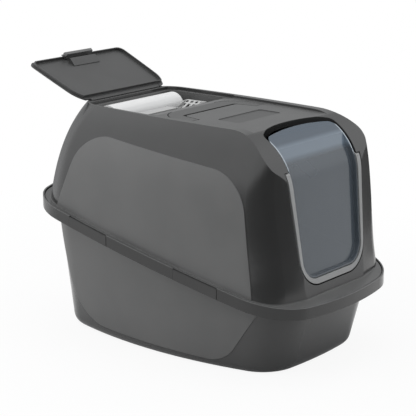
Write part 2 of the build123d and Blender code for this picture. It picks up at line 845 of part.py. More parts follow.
with BuildPart() as storage_lid:
    add(closed_lid.part.rotate(lid_hinge, -lid_open_angle))

storage_lid.part.label = "storage_lid"
export_step(storage_lid.part, "parts/storage_lid.step")

# Latch: a catch bar with a thumb lip, hung on the lid's free edge
with BuildPart() as closed_latch:
    with BuildSketch(Plane.YZ):
        with BuildLine() as edge:
            top_z = roof_z(latch_axis_y) - lid_under_drop - latch_gap
            low_z = top_z - latch_drop
            rear_y = lid_front + latch_depth + 1
            lip_y = lid_front - latch_depth / 2
            Polyline(
                (lid_front + 1, top_z),
                (rear_y, top_z),
                (rear_y, low_z + 2),
                (lid_front + 3, low_z),
                (lid_front - fit_gap, low_z + 3),
                (lid_front - fit_gap, top_z - 5),
                (lip_y, top_z - 4),
                (lip_y, top_z - 1.6),
                (lid_front, top_z - 1.6),
                close=True,
            )
        make_face(edge.edges())
    extrude(amount=latch_half, both=True)
    add(x_rod(latch_axis_y, ear_z, clip_pin, 0, latch_half + lid_lip_wall))

with BuildPart() as lid_latch:
    add(closed_latch.part.rotate(lid_hinge, -lid_open_angle))

lid_latch.part.label = "lid_latch"
export_step(lid_latch.part, "parts/lid_latch.step")

# Carry handle: a flat bail with two pins, lying in its bed
with BuildPart() as carry_handle:
    with BuildSketch(roof_plane(roof_sink + handle_thickness)):
        add(bail_outline(0, 0))
    extrude(amount=handle_thickness)
    add(x_rod(handle_pivot_y, handle_axis_z, handle_thickness - fit_gap, handle_half - handle_leg, handle_half))
    add(x_rod(handle_pivot_y, handle_axis_z, handle_pin, handle_half - 1, handle_half + handle_pin_length))

carry_handle.part.label = "carry_handle"
export_step(carry_handle.part, "parts/carry_handle.step")

# Entrance frame: a U that flips up about two pins, with an ear at each end for the door
with BuildPart() as entrance_frame:
    with BuildSketch(face_plane(0)):
        add(u_outline(frame_pivot_z, frame_top_half, frame_bottom_z, frame_bottom_half, frame_corner))
        add(u_outline(frame_pivot_z, door_top_half, door_bottom_z, door_bottom_half, door_corner, door_gap),
            mode=Mode.SUBTRACT)
    extrude(amount=-frame_depth)
    add(side_profile(0), mode=Mode.INTERSECT)
    # Open channel along its back
    with BuildSketch(face_plane(frame_wall)):
        add(u_outline(frame_pivot_z - 3 * knuckle_radius, frame_top_half, frame_bottom_z, frame_bottom_half,
            frame_corner, -frame_wall))
        add(u_outline(frame_pivot_z, door_top_half, door_bottom_z, door_bottom_half, door_corner,
            door_gap + frame_wall), mode=Mode.SUBTRACT)
    extrude(amount=-frame_depth, mode=Mode.SUBTRACT)
    ear_reach = math.hypot(door_pivot_y - frame_pivot_y, door_pivot_z - frame_pivot_z)
    ear_turn = math.degrees(math.atan2(door_pivot_z - frame_pivot_z, door_pivot_y - frame_pivot_y))
    with BuildSketch(Plane.YZ.offset(frame_inner_half)):
        with Locations(((frame_pivot_y + door_pivot_y) / 2, (frame_pivot_z + door_pivot_z) / 2)):
            SlotCenterToCenter(ear_reach, ear_width, rotation=ear_turn)
    ear_solid = extrude(amount=ear_wall)
    mirror(ear_solid, about=Plane.YZ)
    add(x_rod(frame_pivot_y, frame_pivot_z, 2 * knuckle_radius, frame_inner_half, frame_top_half))
    add(x_rod(frame_pivot_y, frame_pivot_z, pin_diameter, frame_inner_half + 1,
        boss_start + pin_length - pin_end_gap))
    add(x_rod(door_pivot_y, door_pivot_z, pin_diameter + hole_play, door_top_half, frame_top_half),
        mode=Mode.SUBTRACT)

entrance_frame.part.label = "entrance_frame"
export_step(entrance_frame.part, "parts/entrance_frame.step")

# Swing door: flat below, curving back over the brow, with a sunk pane inside its border
door_start_angle = math.degrees(math.atan(face_lean))
door_arc = brow_radius - door_inset
door_rear_y = entrance_rear_y - door_rear_gap
door_arc_end_angle = math.degrees(math.acos((brow_centre_y - door_rear_y) / door_arc)) + door_arc_spare


def door_point(angle, depth):
    """A point on the door's side profile, from its arc's angle and the depth behind its face."""
    turn = math.radians(angle)
    reach = door_arc - depth
    return (brow_centre_y - reach * math.cos(turn), brow_centre_z + reach * math.sin(turn))


def door_foot(depth):
    """The same profile's line carried on below the door."""
    y, z = door_point(door_start_angle, depth)
    return (y - face_lean * z, 0)


def door_arc_edge(start, end, depth):
    """An arc of the door's side profile."""
    return ThreePointArc(door_point(start, depth), door_point((start + end) / 2, depth), door_point(end, depth))


with BuildPart() as swing_door:
    with BuildSketch(Plane.YZ):
        with BuildLine() as edge:
            Line(door_foot(0), door_point(door_start_angle, 0))
            door_arc_edge(door_start_angle, door_arc_end_angle, 0)
            Line(door_point(door_arc_end_angle, 0), door_point(door_arc_end_angle, door_sheet))
            door_arc_edge(door_arc_end_angle, door_step_end_angle, door_sheet)
            Line(door_point(door_step_end_angle, door_sheet), door_point(door_pane_end_angle, door_depth))
            door_arc_edge(door_pane_end_angle, door_start_angle, door_depth)
            Line(door_point(door_start_angle, door_depth), door_foot(door_depth))
            Line(door_foot(door_depth), door_foot(0))
        make_face(edge.edges())
    extrude(amount=door_top_half, both=True)
    # Outline seen from the front, with straight upright sides above the hinge line
    with BuildSketch(face_plane(0)) as front_view:
        add(u_outline(frame_pivot_z, door_top_half, door_bottom_z, door_bottom_half, door_corner))
        with Locations((0, up_face((frame_pivot_z + hood_height + brow_radius) / 2))):
            Rectangle(2 * door_top_half, up_face(hood_height + brow_radius) - up_face(frame_pivot_z))
    extrude(amount=rim_width, both=True, mode=Mode.INTERSECT)
    # Bowed rear edge with rounded corners, seen from above
    with BuildSketch():
        add(brow_outline(door_top_half, -rim_length, door_rear_y, door_rear_bow, door_top_corner))
    extrude(amount=hood_height, mode=Mode.INTERSECT)
    # Sunk pane
    pane_depth = door_depth - door_sheet
    with BuildPart(mode=Mode.PRIVATE) as pocket:
        with BuildSketch(Plane.YZ):
            with BuildLine() as edge:
                Line(door_foot(-1), door_point(door_start_angle, -1))
                door_arc_edge(door_start_angle, door_step_end_angle, -1)
                Line(door_point(door_step_end_angle, -1), door_point(door_step_end_angle, 0))
                Line(door_point(door_step_end_angle, 0), door_point(door_pane_end_angle, pane_depth))
                door_arc_edge(door_pane_end_angle, door_start_angle, pane_depth)
                Line(door_point(door_start_angle, pane_depth), door_foot(pane_depth))
                Line(door_foot(pane_depth), door_foot(-1))
            make_face(edge.edges())
        extrude(amount=door_top_half, both=True)
        with BuildSketch(face_plane(0)):
            add(u_outline(frame_pivot_z, door_top_half, door_bottom_z, door_bottom_half, door_corner,
                -door_border))
            with Locations((0, up_face((frame_pivot_z + hood_height) / 2))):
                Rectangle(2 * (door_top_half - door_border), up_face(hood_height) - up_face(frame_pivot_z))
        extrude(amount=rim_width, both=True, mode=Mode.INTERSECT)
    add(pocket.part, mode=Mode.SUBTRACT)
    add(x_rod(door_pivot_y, door_pivot_z, pin_diameter, door_top_half - door_border,
        frame_inner_half + ear_wall - fit_gap))

swing_door.part.label = "swing_door"
export_step(swing_door.part, "parts/swing_door.step")

# Filter tray under the roof with its carbon pad
roof_under_drop = roof_sink + hood_wall
with BuildPart() as filter_holder:
    with BuildSketch(roof_plane(roof_under_drop)):
        with Locations((0, filter_y)):
            RectangleRounded(filter_length + 2 * holder_wall, filter_width + 2 * holder_wall, 6)
    extrude(amount=-filter_height - holder_wall - fit_gap)
    with BuildSketch(roof_plane(roof_under_drop)):
        with Locations((0, filter_y)):
            RectangleRounded(filter_length, filter_width, 4)
    extrude(amount=-filter_height - fit_gap, mode=Mode.SUBTRACT)
    slot_pitch = filter_length / (holder_slots + 1)
    with BuildSketch(roof_plane(roof_under_drop)):
        with Locations((0, filter_y)):
            with GridLocations(slot_pitch, 0, holder_slots, 1):
                SlotOverall(filter_width - 2 * slot_pitch / 2, slot_pitch / 2, rotation=90)
    extrude(amount=-2 * filter_height, mode=Mode.SUBTRACT)

filter_holder.part.label = "filter_holder"
export_step(filter_holder.part, "parts/filter_holder.step")

with BuildPart() as carbon_filter:
    with BuildSketch(roof_plane(roof_under_drop + fit_gap)):
        with Locations((0, filter_y)):
            RectangleRounded(filter_length - 2 * fit_gap, filter_width - 2 * fit_gap, 4)
    extrude(amount=-filter_height)

carbon_filter.part.label = "carbon_filter"
export_step(carbon_filter.part, "parts/carbon_filter.step")

# Roll of bin liners on the tub's floor
store_floor_drop = store_depth - store_wall
with BuildPart() as liner_roll:
    with BuildSketch(Plane.YZ.offset(roll_x)):
        with Locations((roll_y, roof_z(roll_y) - store_floor_drop + roll_diameter / 2 + fit_gap / 2)):
            Circle(roll_diameter / 2)
            Circle(roll_bore / 2, mode=Mode.SUBTRACT)
    extrude(amount=roll_length / 2, both=True)

liner_roll.part.label = "liner_roll"
export_step(liner_roll.part, "parts/liner_roll.step")

# Litter scoop: a slotted basket with a sloping floor, and a channel handle
scoop_tip_x = scoop_neck_x + scoop_length
scoop_heel_x = scoop_neck_x + scoop_heel_reach
scoop_heel_z = scoop_neck_z - scoop_heel_drop
floor_angle = math.atan2(scoop_heel_drop + scoop_tip_rise, scoop_length - scoop_heel_reach)
back_angle = math.atan2(scoop_heel_drop, scoop_heel_reach)


def basket_plan(inset):
    """The basket seen from above, between its upright sides moved inwards."""
    spread = (scoop_tip_half - scoop_neck_half) / scoop_length
    end_x = scoop_tip_x + 1
    start_half = scoop_neck_half - inset
    end_half = scoop_neck_half + spread * (end_x - scoop_neck_x) - inset
    with BuildSketch() as shape:
        with BuildLine() as edge:
            Polyline(
                (scoop_neck_x, scoop_y - start_half),
                (end_x, scoop_y - end_half),
                (end_x, scoop_y + end_half),
                (scoop_neck_x, scoop_y + start_half),
                close=True,
            )
        make_face(edge.edges())
    return shape.sketch


def basket_block(corners, inset):
    """A side outline drawn on the XZ plane, carried across the basket's plan."""
    with BuildPart() as block:
        with BuildSketch(Plane.XZ):
            with BuildLine() as edge:
                Polyline(*corners, close=True)
            make_face(edge.edges())
        extrude(amount=-2 * scoop_y)
        with BuildSketch():
            add(basket_plan(inset))
        extrude(amount=hood_height, mode=Mode.INTERSECT)
    return block.part


def basket_hollow(depth):
    """Side outline of what lies above the basket's back and floor by a depth, open at the top."""
    floor_lift = depth / math.cos(floor_angle)
    back_shift = depth / math.sin(back_angle)
    floor_slope = math.tan(floor_angle)
    back_slope = math.tan(back_angle)
    inner_reach = (floor_lift + back_slope * back_shift) / (back_slope + floor_slope)
    top = 2 * scoop_tip_rise
    tip_z = scoop_neck_z + scoop_tip_rise + floor_lift + floor_slope
    return [
        (scoop_neck_x + back_shift - top / back_slope, scoop_neck_z + top),
        (scoop_heel_x + inner_reach, scoop_heel_z + floor_lift + floor_slope * inner_reach),
        (scoop_tip_x + 1, tip_z),
        (scoop_tip_x + 1, tip_z + top),
    ]


basket_outer = [
    (scoop_neck_x, scoop_neck_z),
    (scoop_heel_x, scoop_heel_z),
    (scoop_tip_x, scoop_neck_z + scoop_tip_rise),
]

with BuildPart() as litter_scoop:
    add(basket_block(basket_outer, 0))
    add(basket_block(basket_hollow(scoop_wall), scoop_wall), mode=Mode.SUBTRACT)
    add(basket_block(basket_hollow(scoop_side), -1), mode=Mode.SUBTRACT)
    # Long slots through the back and the floor, and short ones at the tip
    slot_rows = ((scoop_slot_start, scoop_slot_end), (scoop_tip_slot_start, scoop_tip_slot_end))
    for row_start, row_end in slot_rows:
        with BuildSketch(Plane.XY.offset(scoop_heel_z - 1)):
            with Locations((scoop_neck_x + (row_start + row_end) / 2, scoop_y)):
                with GridLocations(0, scoop_slot_pitch, 1, scoop_slots):
                    RectangleRounded(row_end - row_start, scoop_slot_width, scoop_slot_width / 3)
        extrude(amount=scoop_heel_drop + 2 * scoop_tip_rise, mode=Mode.SUBTRACT)
    # Channel handle, open below
    handle_end_x = scoop_neck_x + scoop_wall / math.sin(back_angle)
    handle_centre = handle_end_x - scoop_handle_length / 2
    with BuildSketch(Plane.XY.offset(scoop_neck_z)) as handle_plan:
        with Locations((handle_centre, scoop_y)):
            Rectangle(scoop_handle_length, scoop_handle_width)
        fillet(handle_plan.vertices().group_by(Axis.X)[0], scoop_handle_width / 2.5)
    extrude(amount=-scoop_handle_height)
    with BuildSketch(Plane.XY.offset(scoop_neck_z - scoop_wall)) as channel_plan:
        with Locations((handle_centre - scoop_wall, scoop_y)):
            Rectangle(scoop_handle_length - 4 * scoop_wall, scoop_handle_width - 2 * scoop_wall)
        fillet(channel_plan.vertices().group_by(Axis.X)[0], scoop_handle_width / 3)
    extrude(amount=-scoop_handle_height, mode=Mode.SUBTRACT)

litter_scoop.part.label = "litter_scoop"
export_step(litter_scoop.part, "parts/litter_scoop.step")
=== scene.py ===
# %% [markdown]
# # Covered litter box: looks, light and camera
#
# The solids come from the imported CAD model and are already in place, in metres.
# They hold every shape of the object, so this notebook adds no piece to it. It gives
# each solid a material built from nodes, and sets up a plain studio round it.
#
# Directions: +X is to the right seen from the entrance, +Y points to the rear,
# and +Z is up. The floor is at height 0.

# %% Load the frame
import math

import bpy
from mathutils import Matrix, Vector

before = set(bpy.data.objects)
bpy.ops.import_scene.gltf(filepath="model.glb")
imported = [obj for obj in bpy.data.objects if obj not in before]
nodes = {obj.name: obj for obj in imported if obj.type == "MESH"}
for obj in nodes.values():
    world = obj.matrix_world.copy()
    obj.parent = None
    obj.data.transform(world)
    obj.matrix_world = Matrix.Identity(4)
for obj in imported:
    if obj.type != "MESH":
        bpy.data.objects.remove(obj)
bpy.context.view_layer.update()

scene = bpy.context.scene

# %% [markdown]
# ## A helper for shader maths
#
# A finish varies over a surface through a chain of nodes, and a Math node does one
# sum at a time. They could be added and linked one by one, but the formula would be
# lost among the links. Wrapping an output socket in a small class lets ordinary
# Python signs build the chain: `a * 2 + b` makes a Multiply node and an Add node.

# %% Wrap a socket


class Socket:
    """An output socket of a shader node, with Python's arithmetic signs."""

    def __init__(self, graph, output):
        self.graph = graph
        self.output = output

    def least(self, other):
        """The smaller of two values."""
        return self.graph.math("MINIMUM", self, other)

    def most(self, other):
        """The larger of two values."""
        return self.graph.math("MAXIMUM", self, other)

    def size(self):
        """The value without its sign."""
        return (self * self) ** 0.5

    def ramp(self, start, end):
        """0 at start, 1 at end, with a smooth step between them."""
        if start > end:
            return 1.0 - self.ramp(end, start)
        inputs = {"Value": self, "From Min": start, "From Max": end}
        return self.graph.node("ShaderNodeMapRange", "Result", inputs, interpolation_type="SMOOTHSTEP")


def add_sign(sign, operation):
    """Gives Socket the method for one sign, in both orders."""
    def forward(self, other):
        return self.graph.math(operation, self, other)

    def backward(self, other):
        return self.graph.math(operation, other, self)

    setattr(Socket, f"__{sign}__", forward)
    setattr(Socket, f"__r{sign}__", backward)


for sign, operation in {"add": "ADD", "sub": "SUBTRACT", "mul": "MULTIPLY", "pow": "POWER"}.items():
    add_sign(sign, operation)
    print("sockets now take the sign for", operation.lower())

# %% Fill a node tree


class Graph:
    """A node tree that is filled by Python expressions."""

    def __init__(self, tree):
        self.tree = tree

    def node(self, kind, output, inputs=None, **settings):
        """Adds any node, sets its options and then its inputs, and returns one of its outputs."""
        made = self.tree.nodes.new(kind)
        for option, value in settings.items():
            setattr(made, option, value)
        for key, value in (inputs or {}).items():
            self.feed(made.inputs[key], value)
        return Socket(self, made.outputs[output])

    def feed(self, target, value):
        """Links a wrapped socket to an input, or sets the input to a plain value."""
        if isinstance(value, Socket):
            self.tree.links.new(value.output, target)
        else:
            target.default_value = value

    def math(self, operation, first, second):
        """One Math node."""
        return self.node("ShaderNodeMath", 0, {0: first, 1: second}, operation=operation)

    def place(self):
        """The point's place on the object, in metres."""
        return self.node("ShaderNodeTexCoord", "Object")

    def axes(self, vector):
        """The X, Y and Z shares of a vector."""
        first = self.node("ShaderNodeSeparateXYZ", "X", {"Vector": vector})
        splitter = first.output.node
        return [Socket(self, splitter.outputs[axis]) for axis in "XYZ"]

    def noise(self, scale, detail=2.0, stretch=(1, 1, 1)):
        """Cloudy noise from 0 to 1 round the object's own coordinates."""
        scaled = self.node("ShaderNodeVectorMath", 0, {0: self.place(), 1: stretch}, operation="MULTIPLY")
        return self.node("ShaderNodeTexNoise", "Fac", {"Vector": scaled, "Scale": scale, "Detail": detail})

    def blend(self, share, first, second):
        """A mix of two colours, whose sockets come after the Mix node's sockets for numbers."""
        return self.node("ShaderNodeMix", 2, {0: share, 6: first, 7: second}, data_type="RGBA")

    def bump(self, height, depth, edge=0.0):
        """A surface direction bent by a height, whose full step is depth metres.

        With an edge radius, sharp edges also catch the light as moulded ones do.
        """
        inputs = {"Height": height, "Distance": depth}
        if edge:
            inputs["Normal"] = self.node("ShaderNodeBevel", "Normal", {"Radius": edge}, samples=6)
        return self.node("ShaderNodeBump", "Normal", inputs)

    def seen_straight(self):
        """1 for what the camera sees by itself or through a clear surface."""
        straight = self.node("ShaderNodeLightPath", "Is Camera Ray")
        return straight.most(self.node("ShaderNodeLightPath", "Is Transmission Ray"))


# %% Start a material


class Look(Graph):
    """A new material and its shader."""

    def __init__(self, name):
        self.material = bpy.data.materials.new(name)
        self.material.use_nodes = True
        super().__init__(self.material.node_tree)
        self.shader = self.tree.nodes["Principled BSDF"]
        print("new material:", name)

    def surface(self, **inputs):
        """Sets the shader's inputs; underscores stand for the spaces in their names."""
        for key, value in inputs.items():
            self.feed(self.shader.inputs[key.replace("_", " ")], value)
        return self.material


# %% [markdown]
# ## Plastics with one finish
#
# The lid, its latch, the clips, the handle, the entrance frame, the scoop and the
# roof store are moulded plastic, each with one finish all over. One flat colour
# would look painted, and an image would have to be unwrapped onto every piece. Noise
# round the object's own coordinates needs no unwrapping: one cloud drifts the tone,
# another the gloss, and a very fine grain bends the surface direction.

# %% Make a plastic
NEUTRAL = (1.0, 1.003, 0.998)
TONE_DRIFT = 0.05
GLOSS_DRIFT = 0.03
GRAIN_DEPTH = 0.00002
EDGE_RADIUS = 0.0008


def grey(level, tint):
    """An opaque colour from a level and a tint."""
    return (level * tint[0], level * tint[1], level * tint[2], 1.0)


def plastic(name, level, roughness, tint=NEUTRAL, edge=EDGE_RADIUS):
    """A moulded plastic with one finish all over."""
    look = Look(name)
    cloud = look.noise(14.0, 3.0).ramp(0.35, 0.65)
    darker = grey(level * (1 - TONE_DRIFT), tint)
    lighter = grey(level * (1 + TONE_DRIFT), tint)
    gloss = look.noise(22.0) * (2 * GLOSS_DRIFT) + (roughness - GLOSS_DRIFT)
    grain = look.noise(1600.0, 1.0)
    return look.surface(
        Base_Color=look.blend(cloud, darker, lighter),
        Roughness=gloss,
        Normal=look.bump(grain, GRAIN_DEPTH, edge),
    )


# %% Plastics of the small pieces
store_look = plastic("inner shell plastic", 0.085, 0.3)
lid_look = plastic("lid plastic", 0.036, 0.38)
clip_look = plastic("clip plastic", 0.02, 0.16)
handle_look = plastic("handle plastic", 0.047, 0.4)
frame_look = plastic("frame plastic", 0.24, 0.25, tint=(0.99, 1.0, 1.0), edge=0.0006)
scoop_look = plastic("scoop plastic", 0.33, 0.4, tint=(1.0, 1.0, 0.99))

# %% [markdown]
# ## The satin side field
#
# The hood and the tray are polished, apart from one field on each side that is
# eroded to satin in the mould. The faces could be given two materials, but the
# field's outline doesn't follow their edges everywhere. So its outline is a polygon
# with round corners in the YZ plane, and a formula says how far each point lies
# outside it. The field runs on from the hood into the tray. Each corner is given by
# its place (y, z) and its radius; the sharp ones lie hidden past the rim.

# %% Distance from a line


def outside_line(y, z, start, end, inner):
    """How far a point lies outside a line, on the side away from an inner point."""
    run = (end - start).normalized()
    normal = Vector((run.y, -run.x))
    if normal.dot(inner - start) > 0:
        normal = -normal
    return y * normal.x + z * normal.y - normal.dot(start)


# %% Distance from a field with round corners


def outside_corner(y, z, corner, before, after, radius):
    """How far a point lies outside the arc that rounds a corner between two directions."""
    half_angle = before.angle(after) / 2
    centre = corner + (before + after).normalized() * radius / math.sin(half_angle)
    reach = radius / math.tan(half_angle)
    beyond_chord = outside_line(y, z, corner + before * reach, corner + after * reach, centre)
    from_centre = ((y - centre.x) ** 2.0 + (z - centre.y) ** 2.0) ** 0.5
    return beyond_chord.least(from_centre - radius)


def outside_field(y, z, corners):
    """How far a point lies outside a polygon with round corners; less than 0 is inside."""
    points = [Vector(point) for point, radius in corners]
    middle = sum(points, Vector((0, 0))) / len(points)
    following = points[1:] + points[:1]
    far = outside_line(y, z, points[0], following[0], middle)
    for start, end in zip(points[1:], following[1:]):
        far = far.most(outside_line(y, z, start, end, middle))
    for number, (corner, after) in enumerate(zip(points, following)):
        radius = corners[number][1]
        if radius:
            to_before = (points[number - 1] - corner).normalized()
            to_after = (after - corner).normalized()
            far = far.most(outside_corner(y, z, corner, to_before, to_after, radius))
    return far


# %% Corners of the field on the hood and on the tray
HOOD_FIELD = [
    ((-0.246, 0.135), 0.0),
    ((-0.2156, 0.3887), 0.087),
    ((0.166, 0.4286), 0.087),
    ((0.243, 0.245), 0.0),
]
TRAY_FIELD = [
    ((-0.286, 0.200), 0.0),
    ((-0.158, 0.017), 0.072),
    ((0.232, 0.026), 0.100),
    ((0.285, 0.300), 0.0),
]
print("corners of the satin field:", len(HOOD_FIELD), "on the hood,", len(TRAY_FIELD), "on the tray")

# %% [markdown]
# ## Places on the shell
#
# The rim rises towards the rear, and a skirt hangs from it. The roof rises gently
# too, its middle is sunk a little, and the bare badge recess is sunk again. Each
# shows its own tone in the photograph. The roof's comes from its satin finish; the
# skirt and the recess get painted shade and the rim's edge a painted highlight. A
# mask is a number from 0 to 1 over the surface. Painting one by hand would work for
# one view, while a mask from the point's place holds all round and on every copy.

# %% Lines of the rim and the roof
RIM_HEIGHT = 0.2195
RIM_SLOPE = 0.234
SKIRT_HEIGHT = 0.0226
ROOF_REAR = 0.222
ROOF_HEIGHT = 0.47
ROOF_SLOPE = 0.0205
ROOF_SINK = 0.005


def above_rim(y, z):
    """How far a point lies above the rim's upper edge."""
    return z - y * RIM_SLOPE - RIM_HEIGHT


def below_roof(y, z):
    """How far a point lies below the roof's edge."""
    return (y - ROOF_REAR) * ROOF_SLOPE + ROOF_HEIGHT - z


print("the rim's edge is", RIM_HEIGHT, "m high in the middle, the roof's", ROOF_HEIGHT, "m at its rear")

# %% Masks of the shell
FIELD_BLUR = 0.0006
SKIRT_BLUR = 0.0008
ROOF_SATIN = 0.75


def skirt_mask(above):
    """1 on the skirt below the rim's edge."""
    under_skirt = above.ramp(-SKIRT_HEIGHT, -SKIRT_HEIGHT - SKIRT_BLUR)
    over_rim = above.ramp(0.0, 0.001)
    return 1.0 - under_skirt.most(over_rim)


def rim_edge_mask(above, width):
    """1 along the rim's edge, which catches the light; the shell paints a highlight there into its colour.
    """
    return above.ramp(-width, SKIRT_BLUR - width) * above.ramp(0.0011, 0.0006)


def roof_mask(look, z):
    """1 where the surface is part of the level roof."""
    facing_up = look.axes(look.node("ShaderNodeTexCoord", "Normal"))[2]
    return facing_up.ramp(0.93, 0.97) * z.ramp(0.40, 0.41)


def recess_mask(y, z):
    """1 where the surface is sunk below the roof's middle, as in the badge recess."""
    return below_roof(y, z).ramp(ROOF_SINK + 0.0005, ROOF_SINK + 0.0009)


# %% [markdown]
# ## The shell's two finishes
#
# Polished and satin plastic differ in two ways. Satin scatters light, so it has a
# higher Roughness, and it also looks lighter where little light falls on it. One
# material does both for the hood, and one for the tray: the masks drive its colour,
# its Roughness and the depth of its grain. The real hood and tray are probably one
# plastic. Their levels here, the darker skirt and recess, and the light line on the
# rim's edge are colours matched to the photograph, not measured pigments.
# That darker colour is painted shade, and that light line is a painted highlight.

# %% Make a shell plastic
GLOSS_ROUGHNESS = 0.16
SATIN_ROUGHNESS = 0.46
# The next three set a painted highlight on the rim's edge and painted shade on the skirt and in the badge
# recess.
EDGE_LIGHT = 0.07
SKIRT_SHADE = 0.016
RECESS_SHADE = 0.35
SHELL_GRAIN_DEPTH = 0.00003
SHELL_EDGE_RADIUS = 0.0017


def two_finishes(name, field, gloss_level, satin_level, edge_width):
    """The shell's plastic: polished, with a satin field on its sides and a satin roof, painted shade on the
    skirt and in the badge recess, and a painted highlight on the rim's edge.
    """
    look = Look(name)
    y, z = look.axes(look.place())[1:]
    above = above_rim(y, z)
    skirt = skirt_mask(above)
    roof = roof_mask(look, z)
    sides = outside_field(y, z, field).ramp(FIELD_BLUR, -FIELD_BLUR)
    satin = (sides * (1.0 - skirt)).most(roof * ROOF_SATIN)
    # A painted highlight along the rim's edge and painted shade on the skirt, as lighter and darker colour.
    lit_edge = rim_edge_mask(above, edge_width) * EDGE_LIGHT
    level = satin * (satin_level - gloss_level) + gloss_level + lit_edge - skirt * SKIRT_SHADE
    cloud = look.noise(14.0, 3.0).ramp(0.3, 0.7) * 0.08 + 0.96
    # Painted shade darkens the badge recess in the roof.
    level = level * cloud * (1.0 - recess_mask(y, z) * roof * RECESS_SHADE)
    tinted = {channel: level * share for channel, share in enumerate(NEUTRAL)}
    smear = look.noise(9.0) * 0.05
    grain = look.noise(2600.0, 1.0) * (satin * 0.9 + 0.1)
    return look.surface(
        Base_Color=look.node("ShaderNodeCombineColor", 0, tinted),
        Roughness=satin * (SATIN_ROUGHNESS - GLOSS_ROUGHNESS) + smear + GLOSS_ROUGHNESS,
        Normal=look.bump(grain, SHELL_GRAIN_DEPTH, SHELL_EDGE_RADIUS),
    )


# %% Plastics of the hood and the tray
hood_look = two_finishes("hood plastic", HOOD_FIELD, gloss_level=0.026, satin_level=0.076, edge_width=0.0024)
tray_look = two_finishes("tray plastic", TRAY_FIELD, gloss_level=0.034, satin_level=0.07, edge_width=0.0012)

# %% [markdown]
# ## The tinted door
#
# The door is a bent blue-grey sheet, and a little of the dark inside shows through.
# A refracting glass would follow the light more truly, but such a thin sheet hardly
# bends it, so a glossy plastic with Alpha under 1 does. In the photograph the bend
# at the top is brighter than the pane, the lip behind it darker, and the cut edges
# at the sides of the bend pale. That is light and shade, painted here in the colour:
# painted light on the bend, painted shade on the lip and painted highlights on the
# cut edges.

# %% Door look
PANE_DARK = (0.068, 0.082, 0.096, 1.0)
PANE_LIGHT = (0.085, 0.1, 0.118, 1.0)
# Painted light on the bend, painted shade on the lip and painted highlights on the cut edges.
BEND_PAINTED_LIGHT = (0.16, 0.2, 0.245, 1.0)
LIP_PAINTED_SHADE = (0.055, 0.075, 0.1, 1.0)
CUT_EDGE_PAINTED_HIGHLIGHT = (0.42, 0.47, 0.52, 1.0)
PANE_ALPHA = 0.84


def door_plastic():
    """The tinted sheet, with painted light on its bend, painted shade on its lip and painted highlights on
    its pale cut edges.
    """
    look = Look("door plastic")
    x, _, z = look.axes(look.place())
    # The bend mask carries painted light and a little more Alpha, the lip mask painted shade, the cut edge
    # mask painted highlights.
    bend = z.ramp(0.398, 0.412)
    lip = z.ramp(0.424, 0.436)
    cut_edge_highlight = x.size().ramp(0.1078, 0.1088) * z.ramp(0.386, 0.396)
    cloud = look.noise(9.0)
    colour = look.blend(cloud, PANE_DARK, PANE_LIGHT)
    colour = look.blend(bend, colour, BEND_PAINTED_LIGHT)
    colour = look.blend(lip, colour, LIP_PAINTED_SHADE)
    return look.surface(
        Base_Color=look.blend(cut_edge_highlight, colour, CUT_EDGE_PAINTED_HIGHLIGHT),
        Roughness=cloud * 0.05 + 0.08,
        Alpha=bend * 0.08 + PANE_ALPHA,
        Normal=look.bump(cloud, 0.0002, 0.001),
    )


door_look = door_plastic()

# %% [markdown]
# ## The roll of liners
#
# The liners are thin white film, wound up. Modelling each layer would show nothing
# from a step away. Noise that is stretched along the roll gives the faint creases
# of wound film instead.

# %% Film look


def liner_film():
    """White film with creases along the roll."""
    look = Look("liner film")
    creases = look.noise(60.0, 3.0, stretch=(0.15, 6.0, 6.0))
    return look.surface(
        Base_Color=look.blend(creases, (0.52, 0.52, 0.52, 1.0), (0.6, 0.6, 0.595, 1.0)),
        Roughness=creases * 0.1 + 0.35,
        Normal=look.bump(creases, 0.0006),
    )


film_look = liner_film()

# %% [markdown]
# ## The carbon filter
#
# The filter is a pad of black felt under the roof. Hair strands would be wasted on
# a piece that is seen only through the entrance, so fine noise makes the fibres.

# %% Felt look


def carbon_felt():
    """Black felt with fine fibres."""
    look = Look("carbon felt")
    fibres = look.noise(900.0, 4.0)
    return look.surface(
        Base_Color=look.blend(fibres, (0.01, 0.01, 0.011, 1.0), (0.035, 0.035, 0.036, 1.0)),
        Roughness=fibres * 0.1 + 0.85,
        Normal=look.bump(fibres, 0.0005),
    )


felt_look = carbon_felt()

# %% [markdown]
# ## Dress the nodes
#
# Every solid is an object of its own. Materials could be dragged onto each by hand,
# but a table by name does the same each time the notebook runs.

# %% Give every node its look
looks = {
    "litter_tray": tray_look,
    "hood_shell": hood_look,
    "storage_tub": store_look,
    "storage_lid": lid_look,
    "lid_latch": store_look,
    "carry_handle": handle_look,
    "entrance_frame": frame_look,
    "swing_door": door_look,
    "liner_roll": film_look,
    "litter_scoop": scoop_look,
    "filter_holder": store_look,
    "carbon_filter": felt_look,
}
for name, node in nodes.items():
    look = clip_look if name.startswith("clip_") else looks[name]
    for slot in node.material_slots:
        slot.material = look
    if not node.material_slots:
        node.data.materials.append(look)
    print(name, "wears", look.name)

# %% [markdown]
# ## Floor
#
# In the photograph the box stands on white with a faint shadow. A floor that is lit
# to white all over would lose the shadow. So the floor is a pale matt disc, and a
# Mix Shader lays white paper light over it for the rays that the camera sends out,
# fully only well away from the box. Polished sides mirror the floor too, so mirror
# rays meet the paper light beside the box. In front of the corner that stays dark
# they meet less of it: that patch was placed for the photograph's view alone.

# %% Floor disc
FLOOR_RADIUS = 1.35
bpy.ops.mesh.primitive_circle_add(radius=FLOOR_RADIUS, vertices=160, fill_type="NGON")
floor = bpy.context.object
floor.name = "floor"
print("floor disc", 2 * FLOOR_RADIUS, "m across")

# %% Where the floor shines
NEAR_WHITENESS = 0.91
CORNER_SHADE = 0.8


